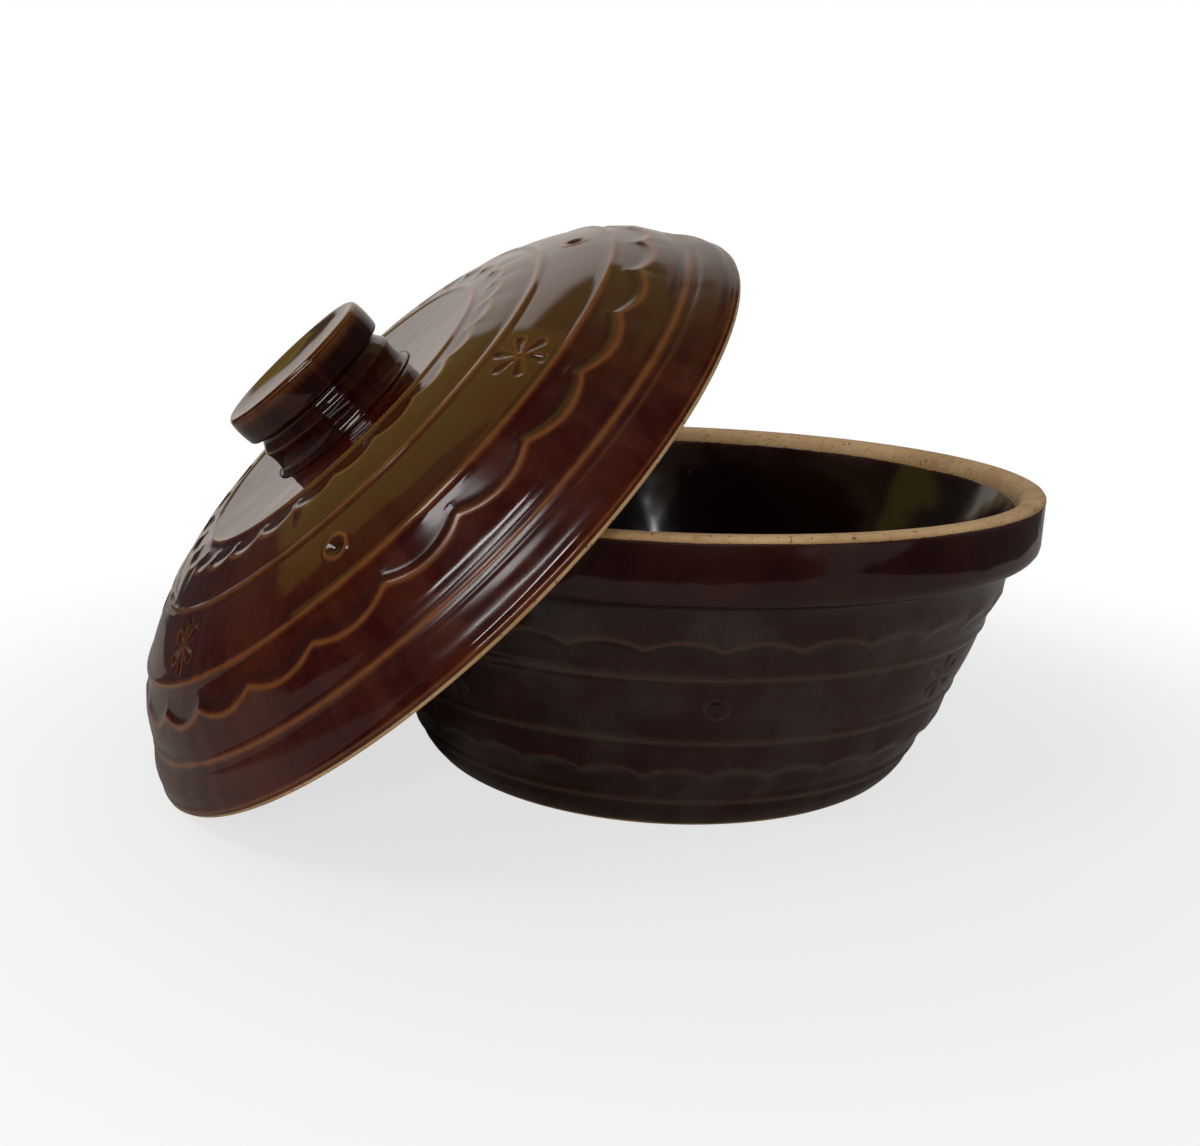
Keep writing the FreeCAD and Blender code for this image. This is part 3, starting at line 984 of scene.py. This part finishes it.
def bare_clay(tree, given):
    """Colour and surface of bare buff clay with dark specks, and how much of it shows."""
    place = tree.nodes.new("ShaderNodeTexCoord").outputs["Object"]
    stains = noise(tree, place, 38.0, 5.0, 0.65)
    mottle = noise(tree, place, 310.0, 6.0, 0.7)
    specks = noise(tree, place, 780.0, 1.5, 0.5)
    bare = mark(tree, "bare")
    shown = (bare + (stains - 0.5) * 0.45 + (mottle - 0.5) * 0.3).eased(0.46, 0.60)
    toast = (stains * 0.6 + mottle * 0.4 + (bare.inverse()) * 0.5).eased(0.40, 0.75)
    colour_now = mix(tree, toast, given["Bare clay"], given["Toasted clay"])
    colour_now = mix(tree, specks.eased(0.64, 0.70) * 0.75, colour_now, CLAY_SPECK)
    added(tree, "NodeGroupOutput", colour_now, mottle * 0.35 + specks * 0.1, shown)


def glaze_group():
    colours = ("Glaze", "Dark glaze", "Thin glaze", "Olive glaze and painted reflection", "Pooled glaze and painted shade",
               "Inside glaze in painted shade", "Bloom")
    inputs = {**dict.fromkeys(colours, "Color"), "Roughness": "Float", "Bloom share": "Float"}
    outputs = {"Color": "Color", "Roughness": "Float", "Height": "Float"}
    return group("breaking glaze", "ShaderNodeTree", inputs, outputs, breaking_glaze)


def clay_group():
    inputs = {"Bare clay": "Color", "Toasted clay": "Color"}
    outputs = {"Color": "Color", "Height": "Float", "Mask": "Float"}
    return group("bare clay", "ShaderNodeTree", inputs, outputs, bare_clay)


def stoneware(name, finish, body, shade, ridge, bloom):
    """Glazed stoneware whose bare places show the clay."""
    material = bpy.data.materials.new(name)
    material.use_nodes = True
    tree = material.node_tree
    glaze = added(
        tree, "ShaderNodeGroup", body, shade, ridge, finish.crown, finish.pool,
        finish.inside, finish.bloom, finish.roughness, bloom, node_tree=glaze_group(),
    ).outputs
    clay = added(
        tree, "ShaderNodeGroup", finish.clay, finish.clay_dark, node_tree=clay_group()
    ).outputs
    shown = Field(tree, clay["Mask"])
    glazed = shown.inverse()
    bump = added(tree, "ShaderNodeBump")
    feed(tree, bump.inputs, {
        "Strength": 0.55, "Distance": 0.5 * MM,
        "Height": Field(tree, glaze["Height"]) * glazed + Field(tree, clay["Height"]) * shown,
    })
    clay_roughness = 0.88
    feed(tree, tree.nodes["Principled BSDF"].inputs, {
        "Base Color": mix(tree, shown, glaze["Color"], clay["Color"]),
        "Roughness": Field(tree, glaze["Roughness"]) * glazed + shown * clay_roughness,
        "IOR": 1.52, "Normal": bump.outputs["Normal"],
    })
    return material


# Operators

class STONEWARE_OT_bowl(bpy.types.Operator):
    """Turn the bowl, with its rings, scalloped rows and motifs"""
    bl_idname = "stoneware.bowl"
    bl_label = "Make the bowl"

    def execute(self, context):
        scene = context.scene
        sizes, relief, finish = scene.bowl_sizes, scene.relief_sizes, scene.finish
        inputs = turned_inputs(
            relief, BOWL_SEED, sizes.columns, sizes.scallops, sizes.scallop_turn,
            sizes.motif_turn, finish.bowl_motif_edges,
        )
        # The bowl's colours are the lid's glaze darkened as painted shade
        material = stoneware(
            "bowl stoneware", finish, finish.bowl_body_in_shade, finish.bowl_thick_in_shade, finish.bowl_ridge_in_shade,
            finish.bowl_bloom,
        )
        outline = bowl_outline(sizes, relief)
        piece = turned_piece("glazed_bowl", outline, inputs, material, Matrix.Identity(4))
        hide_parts("bowl")
        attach(piece, "bowl")
        return {"FINISHED"}


class STONEWARE_OT_lid(bpy.types.Operator):
    """Turn the lid and lean it where the frame has it"""
    bl_idname = "stoneware.lid"
    bl_label = "Make the lid"

    def execute(self, context):
        scene = context.scene
        sizes, relief, finish = scene.lid_sizes, scene.relief_sizes, scene.finish
        inputs = turned_inputs(
            relief, LID_SEED, sizes.columns, sizes.scallops, motif_turn=sizes.motif_turn
        )
        material = stoneware(
            "lid stoneware", finish, finish.body, finish.shade, finish.ridge, finish.lid_bloom
        )
        outline = lid_outline(sizes, scene.bowl_sizes.rim_radius, relief)
        piece = turned_piece("glazed_lid", outline, inputs, material, lid_place())
        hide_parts("lid")
        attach(piece, "lid")
        return {"FINISHED"}


class STONEWARE_OT_knob(bpy.types.Operator):
    """Turn the knob and set it on the lid's pad"""
    bl_idname = "stoneware.knob"
    bl_label = "Make the knob"

    def execute(self, context):
        scene = context.scene
        relief, finish = scene.relief_sizes, scene.finish
        inputs = turned_inputs(relief, KNOB_SEED, relief.knob_columns)
        # The knob's colours are the lid's glaze darkened as painted shade
        material = stoneware(
            "knob stoneware", finish, finish.knob_body_in_shade, finish.knob_thick_in_shade, finish.ridge, 0.0
        )
        outline = knob_outline(scene.knob_sizes)
        pad = Matrix.Translation((0.0, 0.0, scene.lid_sizes.pad_height))
        piece = turned_piece("glazed_knob", outline, inputs, material, lid_place() @ pad)
        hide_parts("lid_knob")
        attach(piece, "lid")
        return {"FINISHED"}


def soft_lamp(name, power, size, place, aim, roll):
    """A soft lamp that points at aim, rolled about its own beam."""
    data = bpy.data.lights.new(name, "AREA")
    data.energy = power
    data.shape = "RECTANGLE"
    data.size, data.size_y = size
    lamp = bpy.data.objects.new(name, data)
    bpy.context.scene.collection.objects.link(lamp)
    lamp.location = place
    turned = (aim - place).to_track_quat("-Z", "Y") @ Quaternion((0.0, 0.0, 1.0), roll)
    lamp.rotation_euler = turned.to_euler()


def studio_world(sizes):
    """Even light; the camera sees white, and gloss sees a dark room with two walls."""
    world = bpy.data.worlds.new("studio")
    bpy.context.scene.world = world
    world.use_nodes = True
    tree = world.node_tree
    direction = tree.nodes.new("ShaderNodeTexCoord").outputs["Generated"]
    split = added(tree, "ShaderNodeSeparateXYZ", direction)
    x, y, up = (Field(tree, socket) for socket in split.outputs)
    level = (x * x + y * y).math("SQRT").math("MAXIMUM", 0.001)

    def facing(turn):
        """Cosine of the angle from a compass bearing."""
        bearing = math.radians(turn)
        return (x * math.cos(bearing) + y * math.sin(bearing)) / level

    # The pale wall: its middle, its left end and its top
    middle = facing(125.0)
    left_end = facing(38.0).eased(-0.02, 0.03)
    top = up.eased(0.69, 0.74).inverse()
    pale = middle.eased(0.36, 0.52) * middle.math("MAXIMUM", 0.0).math("POWER", 1.5)
    pale = pale * left_end * top * (up * 0.60 + 0.62).clamped()

    # The warm wall above it and beside it
    warm = facing(84.0).eased(0.0, 0.04) * up.eased(0.28, 0.32) * up.eased(0.90, 0.96).inverse()
    warm = warm * (left_end * top).inverse() * (left_end * -0.5 + 1.0)

    # What the camera, the gloss and the rest of the light see
    rays = tree.nodes.new("ShaderNodeLightPath").outputs
    plain = Field(tree, rays["Is Camera Ray"])
    gloss = Field(tree, rays["Is Glossy Ray"])
    mirrored = gloss * plain.inverse()
    rest = plain.math("MAXIMUM", gloss).inverse()
    shown = mix(tree, warm.clamped(), DARK_ROOM, sizes.warm_wall)
    shown = mix(tree, pale.clamped(), shown, sizes.pale_wall)
    feed(tree, tree.nodes["Background"].inputs, {
        "Color": mix(tree, mirrored, WHITE, shown),
        "Strength": plain + mirrored + rest * sizes.ambient,
    })


def pale_floor(sizes):
    """A pale floor that keeps the shadow near the bowl and fades to white far from it."""
    half = sizes.floor_size / 2
    level = -0.2 * MM
    mesh = bpy.data.meshes.new("floor")
    sides = ((-half, -half), (half, -half), (half, half), (-half, half))
    corners = [(x, y, level) for x, y in sides]
    mesh.from_pydata(corners, [], [(0, 1, 2, 3)])
    floor = bpy.data.objects.new("floor", mesh)
    bpy.context.scene.collection.objects.link(floor)
    material = bpy.data.materials.new("pale floor")
    material.use_nodes = True
    tree = material.node_tree
    rays = tree.nodes.new("ShaderNodeLightPath").outputs
    mirrored = Field(tree, rays["Is Glossy Ray"])
    shader = tree.nodes["Principled BSDF"]
    feed(tree, shader.inputs, {
        "Base Color": mix(tree, mirrored, sizes.floor_colour, sizes.floor_mirrored),
        "Roughness": 0.9, "Specular IOR Level": 0.0,
    })

    # The camera sees it mostly white near the bowl, and all white far from it
    near, far, white_near = 0.13, 0.34, 0.70
    place = tree.nodes.new("ShaderNodeTexCoord").outputs["Object"]
    distance = added(tree, "ShaderNodeVectorMath", place, operation="LENGTH")
    faded = Field(tree, distance.outputs["Value"]).eased(near, far) * (1 - white_near)
    white = added(tree, "ShaderNodeEmission", WHITE)
    share = (faded + white_near) * Field(tree, rays["Is Camera Ray"])
    blend = added(tree, "ShaderNodeMixShader", share, shader.outputs[0], white.outputs[0])
    feed(tree, tree.nodes["Material Output"].inputs, {"Surface": blend.outputs[0]})
    mesh.materials.append(material)


class STONEWARE_OT_stage(bpy.types.Operator):
    """Set the floor, the soft lamps and the camera"""
    bl_idname = "stoneware.stage"
    bl_label = "Set the stage"

    def execute(self, context):
        scene = context.scene
        sizes = scene.stage_sizes
        pale_floor(sizes)
        studio_world(sizes)
        aim = Vector((0.0, 0.0, 0.06))
        for name, (share, size, *angles) in LAMPS.items():
            turn, rise, roll = (math.radians(degrees) for degrees in angles)
            way = Vector((
                math.cos(rise) * math.cos(turn), math.cos(rise) * math.sin(turn), math.sin(rise)
            ))
            soft_lamp(name, sizes.key_power * share, size, aim + LAMP_DISTANCE * way, aim, roll)
        camera = bpy.data.objects.new("camera", bpy.data.cameras.new("camera"))
        scene.collection.objects.link(camera)
        camera.data.lens = sizes.focal_length
        camera.data.sensor_width = SENSOR_WIDTH
        camera.data.clip_start = 0.01
        camera.data.clip_end = 50.0
        right = Vector(CAMERA_RIGHT).normalized()
        forward = Vector(CAMERA_FORWARD).normalized()
        up = right.cross(forward).normalized()
        turned = Matrix((forward.cross(up), up, -forward)).transposed().to_4x4()
        camera.matrix_world = Matrix.Translation(CAMERA_PLACE) @ turned
        scene.camera = camera
        scene.view_settings.view_transform = "Standard"
        return {"FINISHED"}


class STONEWARE_PT_panel(bpy.types.Panel):
    """Sizes, finishes and pieces of the serving bowl"""
    bl_label = "Stoneware serving bowl"
    bl_idname = "STONEWARE_PT_panel"
    bl_space_type = "VIEW_3D"
    bl_region_type = "UI"
    bl_category = "Stoneware"

    def draw(self, context):
        for name, group in GROUPS.items():
            box = self.layout.box()
            box.label(text=name.replace("_", " ").capitalize())
            settings = getattr(context.scene, name)
            for field in group.__annotations__:
                box.prop(settings, field)
        for operator in OPERATORS:
            self.layout.operator(operator.bl_idname)


GROUPS = {
    "bowl_sizes": BowlSizes,
    "lid_sizes": LidSizes,
    "knob_sizes": KnobSizes,
    "relief_sizes": ReliefSizes,
    "finish": Finish,
    "stage_sizes": StageSizes,
}
OPERATORS = (STONEWARE_OT_bowl, STONEWARE_OT_lid, STONEWARE_OT_knob, STONEWARE_OT_stage)


def register():
    for group in GROUPS.values():
        bpy.utils.register_class(group)
    for name, group in GROUPS.items():
        setattr(bpy.types.Scene, name, bpy.props.PointerProperty(type=group))
    for operator in OPERATORS:
        bpy.utils.register_class(operator)
    bpy.utils.register_class(STONEWARE_PT_panel)


def unregister():
    bpy.utils.unregister_class(STONEWARE_PT_panel)
    for operator in reversed(OPERATORS):
        bpy.utils.unregister_class(operator)
    for name, group in reversed(GROUPS.items()):
        delattr(bpy.types.Scene, name)
        bpy.utils.unregister_class(group)


def main():
    register()
    bpy.ops.stoneware.bowl()
    bpy.ops.stoneware.lid()
    bpy.ops.stoneware.knob()
    bpy.ops.stoneware.stage()


if __name__ == "__main__":
    main()
